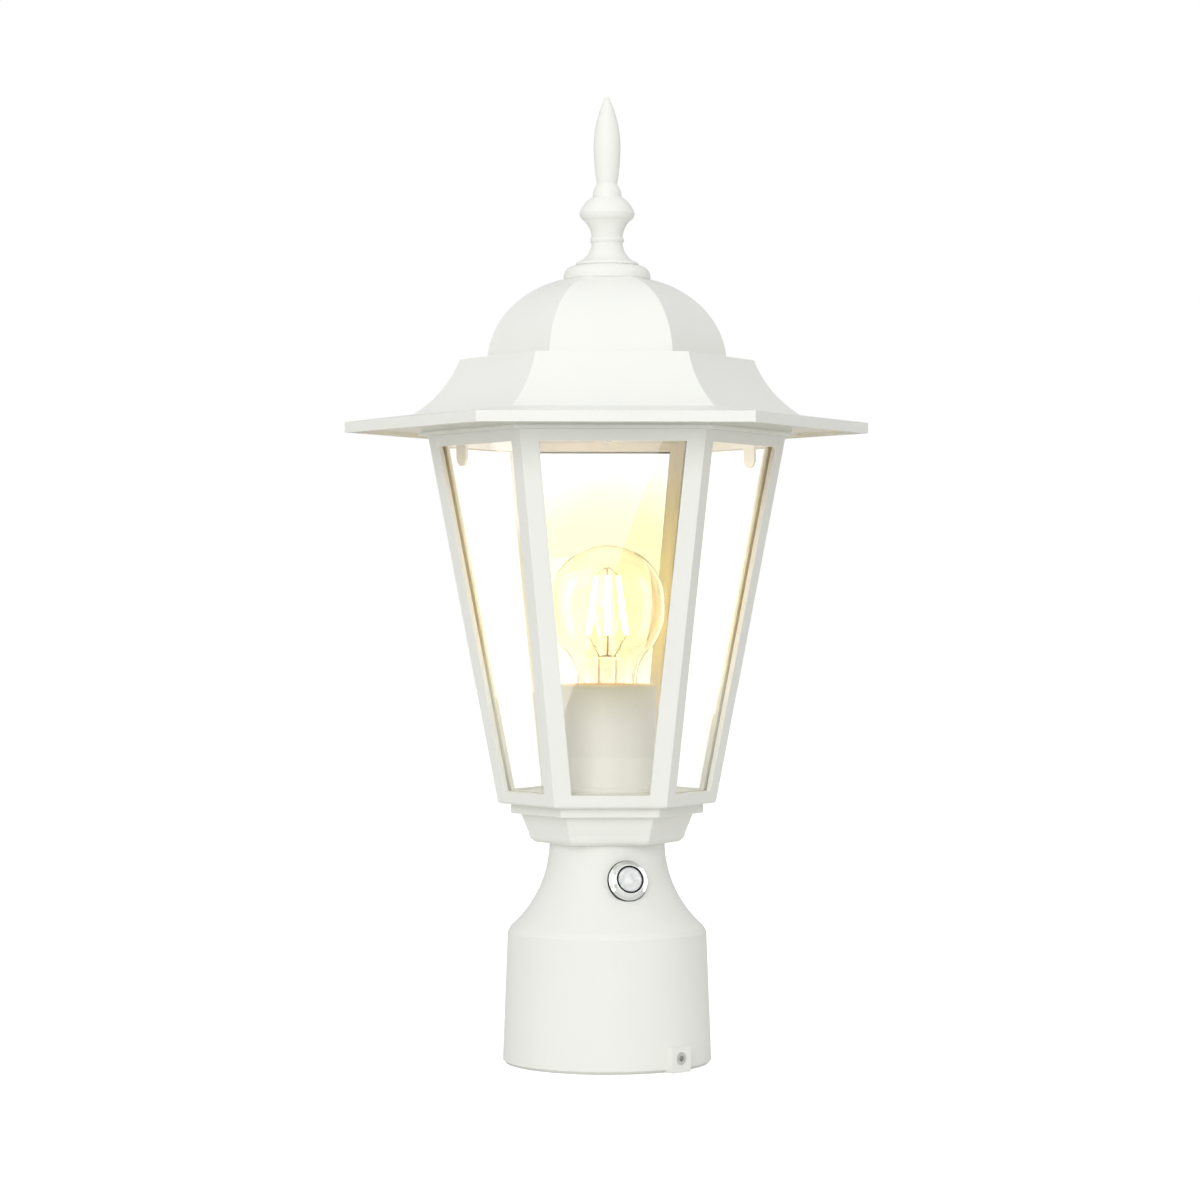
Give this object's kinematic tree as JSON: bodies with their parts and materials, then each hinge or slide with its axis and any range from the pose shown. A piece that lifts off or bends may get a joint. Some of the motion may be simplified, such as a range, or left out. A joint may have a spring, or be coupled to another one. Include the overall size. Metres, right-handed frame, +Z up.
{
  "type": "post top lantern",
  "caption": "Six-sided cast post top lantern with clear glass panes, domed roof, turned finial, light sensor and a round fitter for a 3 inch post.",
  "frame": {"origin": "centre of the post fitter's bottom rim", "axes": "+Z up along the post axis, -Y to the lantern's front face, which has the light sensor below it on its right; hexagon corners on +X and -X"},
  "size_m": [0.2148, 0.186, 0.3952],
  "materials": {
    "white_coat": "satin powder coat over cast aluminium",
    "pane_glass": "clear, polished",
    "bulb_glass": "clear, faint amber tint",
    "sleeve_white": "satin",
    "chrome": "polished",
    "black_rubber": "matte",
    "lens": "clear, domed",
    "black_plastic": "matte",
    "cell": "satin",
    "steel": "zinc plated",
    "aluminium": "drawn",
    "brass": "plain",
    "phenolic": "moulded",
    "black_glass": "vitrified insulator",
    "light_stick": "lit phosphor coat",
    "nickel_wire": "drawn wire"
  },
  "bodies": {
    "lantern": {"post_fitter": "white_coat", "sensor_bezel": "chrome", "sensor_gasket": "black_rubber", "sensor_barrel": "black_plastic", "sensor_lens": "lens", "sensor_nut": "steel", "sensor_cell": "cell", "base_gallery": "white_coat", "cage_frame": "white_coat", "threaded_pipe": "steel", "fitter_nut": "steel", "floor_nut": "steel", "socket_body": "phenolic", "socket_shell": "aluminium", "socket_contact": "brass", "socket_sleeve": "sleeve_white", "glass_panel_1": "pane_glass", "glass_panel_2": "pane_glass", "glass_panel_3": "pane_glass", "glass_panel_4": "pane_glass", "glass_panel_5": "pane_glass", "glass_panel_6": "pane_glass"},
    "roof": {"roof": "white_coat", "cap_plate": "white_coat", "tie_rod": "steel", "rod_nut": "steel"},
    "finial": {"finial": "white_coat"},
    "bulb": {"bulb_tip": "brass", "bulb_insulator": "black_glass", "bulb_cap": "aluminium", "bulb_glass": "bulb_glass", "bulb_stem": "bulb_glass", "bulb_light_sticks": "light_stick", "bulb_wires": "nickel_wire"},
    "screw_1": {"set_screw_1": "steel"},
    "screw_2": {"set_screw_2": "steel"}
  },
  "joints": [
    {"name": "roof_lift", "type": "slide", "parent": "lantern", "child": "roof", "axis": [0, 0, 1], "range_m": [0, 0.08]},
    {"name": "finial_turn", "type": "hinge", "parent": "roof", "child": "finial", "pos_m": [0, 0, 0.34], "axis": [0, 0, 1], "continuous": true},
    {"name": "bulb_turn", "type": "hinge", "parent": "lantern", "child": "bulb", "pos_m": [0, 0, 0.14], "axis": [0, 0, 1], "continuous": true},
    {"name": "screw_1_travel", "type": "slide", "parent": "lantern", "child": "screw_1", "axis": [0.6225, -0.7826, 0], "range_m": [-0.0015, 0.003]},
    {"name": "screw_2_travel", "type": "slide", "parent": "lantern", "child": "screw_2", "axis": [-0.6225, 0.7826, 0], "range_m": [-0.0015, 0.003]}
  ]
}
